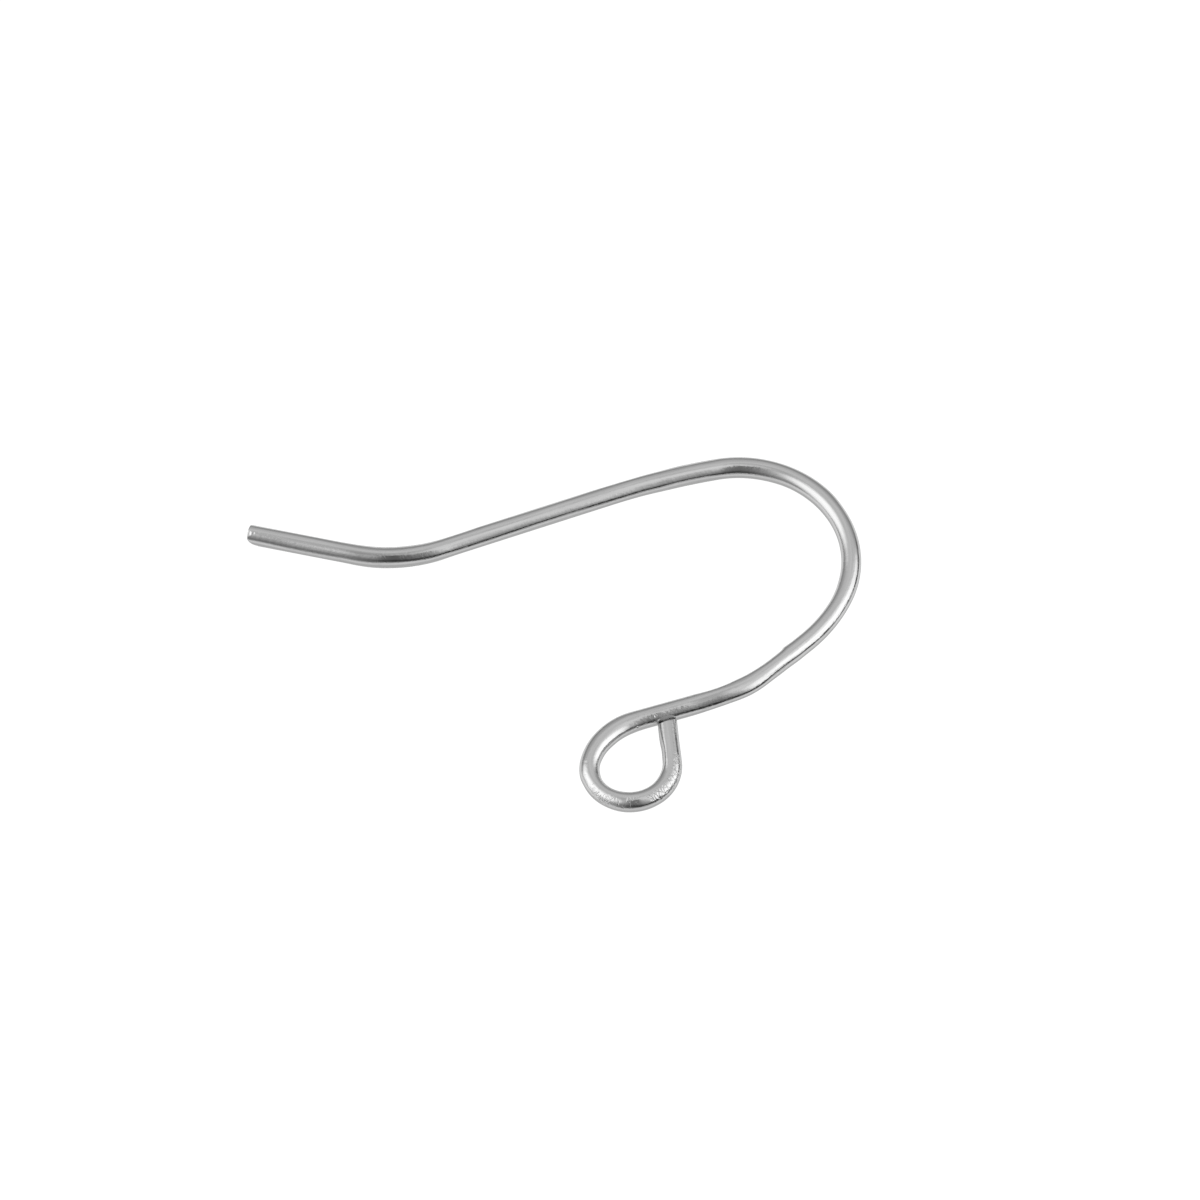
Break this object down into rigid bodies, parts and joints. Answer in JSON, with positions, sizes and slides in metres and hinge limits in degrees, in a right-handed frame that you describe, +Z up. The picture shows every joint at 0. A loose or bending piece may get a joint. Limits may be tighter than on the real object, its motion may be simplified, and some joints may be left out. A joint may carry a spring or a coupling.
{
  "type": "ear wire",
  "caption": "Fish-hook ear wire bent from round steel wire: kinked tail, straight shank, round crown, flared front and a small drop-shaped open loop.",
  "frame": {"origin": "under the middle of the outline, on the surface that the wire lies on", "axes": "+X along the straight shank from the tail towards the crown, +Z up, square to the plane of the wire"},
  "size_m": [0.0202, 0.0158, 0.0007],
  "materials": {
    "steel_wire": "polished drawn wire with faint lines along it"
  },
  "bodies": {
    "root": {"ear_wire": "steel_wire"}
  },
  "joints": []
}
